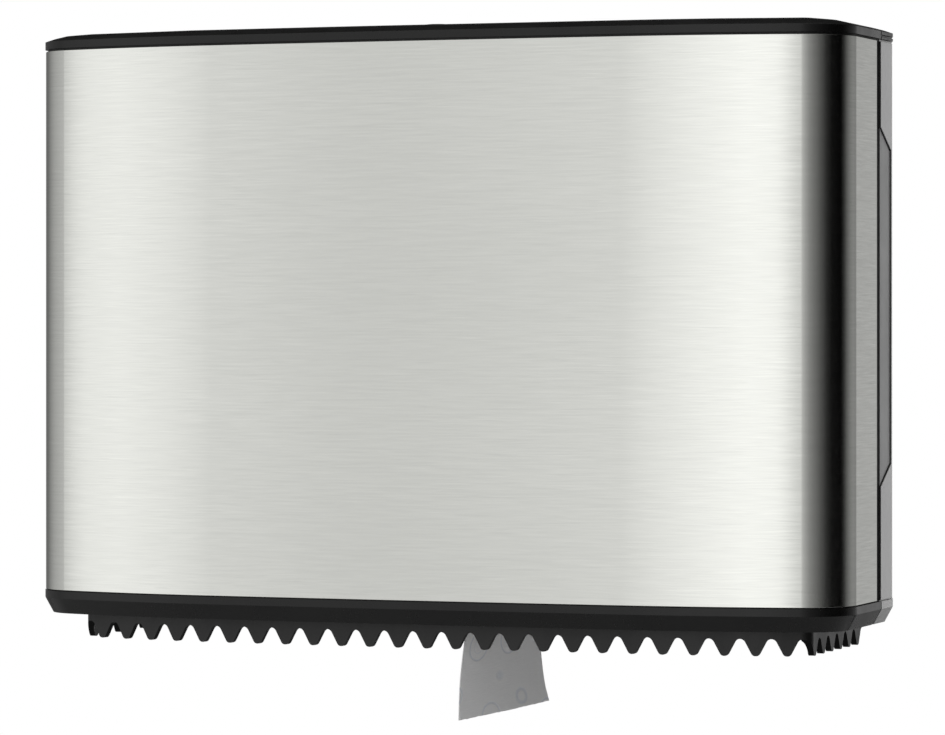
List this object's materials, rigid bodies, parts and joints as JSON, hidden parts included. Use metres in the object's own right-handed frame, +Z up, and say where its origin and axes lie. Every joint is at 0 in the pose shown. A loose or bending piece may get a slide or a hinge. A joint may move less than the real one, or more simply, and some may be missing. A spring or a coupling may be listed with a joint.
{
  "type": "jumbo toilet roll dispenser",
  "caption": "Wall-mounted dispenser for large toilet rolls: a steel-fronted cover hinged on a dark plastic shell, with a toothed tear edge below and a key lock on top.",
  "frame": {"origin": "midway between the four wall holes, in the plane of the wall", "axes": "+Z up, +X to the right of someone facing the dispenser, +Y into the wall; the front faces -Y"},
  "size_m": [0.3526, 0.1323, 0.2821],
  "materials": {
    "front_steel": "fine horizontal brushing",
    "shell_plastic": "fine satin",
    "insert_plastic": "fine grain",
    "trim_plastic": "satin",
    "frame_plastic": "matte",
    "tray_plastic": "satin",
    "hub_plastic": "satin grey",
    "bush_plastic": "natural white",
    "zinc_steel": "zinc plated",
    "spring_steel": "bright",
    "lock_metal": "black, satin",
    "brake_rubber": "matte",
    "cardboard": "grey-brown board",
    "paper": "soft white tissue"
  },
  "bodies": {
    "housing": {"rear_shell": "shell_plastic", "rear_top_cap": "trim_plastic", "grip_insert_left": "insert_plastic", "grip_insert_right": "insert_plastic", "bottom_tray": "tray_plastic", "tear_edge": "tray_plastic", "tray_screws": "zinc_steel", "hinge_pins": "zinc_steel", "spindle_bracket": "hub_plastic", "main_axle": "zinc_steel", "axle_clip": "spring_steel", "brake_washer": "brake_rubber", "stub_bracket": "hub_plastic", "stub_axle": "zinc_steel", "stub_clip": "spring_steel", "stub_washer": "brake_rubber", "bracket_screws": "zinc_steel", "latch_keeper": "zinc_steel", "keeper_screws": "zinc_steel", "paper_tail": "paper"},
    "cover": {"steel_panel": "front_steel", "cover_frame": "frame_plastic", "top_trim": "trim_plastic", "bottom_trim": "trim_plastic", "trim_screws": "zinc_steel", "lock_housing": "frame_plastic"},
    "latch": {"lock_barrel": "lock_metal", "lock_clip": "spring_steel", "latch_cam": "zinc_steel", "cam_screw": "zinc_steel"},
    "roll": {"roll_hub": "hub_plastic", "hub_bushes": "bush_plastic", "core_springs": "spring_steel", "roll_core": "cardboard", "paper_roll": "paper"},
    "stub": {"stub_hub": "hub_plastic", "stub_bushes": "bush_plastic", "stub_springs": "spring_steel"}
  },
  "joints": [
    {"name": "cover_open", "type": "hinge", "parent": "housing", "child": "cover", "pos_m": [0, -0.0662, -0.12295], "axis": [1, 0, 0], "range_deg": [0, 80], "deforming": ["paper_tail"]},
    {"name": "latch_turn", "type": "hinge", "parent": "cover", "child": "latch", "pos_m": [0, -0.1007, 0.1], "axis": [0, 0, 1], "range_deg": [0, 90]},
    {"name": "roll_spin", "type": "hinge", "parent": "housing", "child": "roll", "pos_m": [-0.072, -0.06, 0], "axis": [0, 1, 0], "continuous": true},
    {"name": "stub_spin", "type": "hinge", "parent": "housing", "child": "stub", "pos_m": [0.095, -0.06, 0], "axis": [0, 1, 0], "continuous": true}
  ]
}
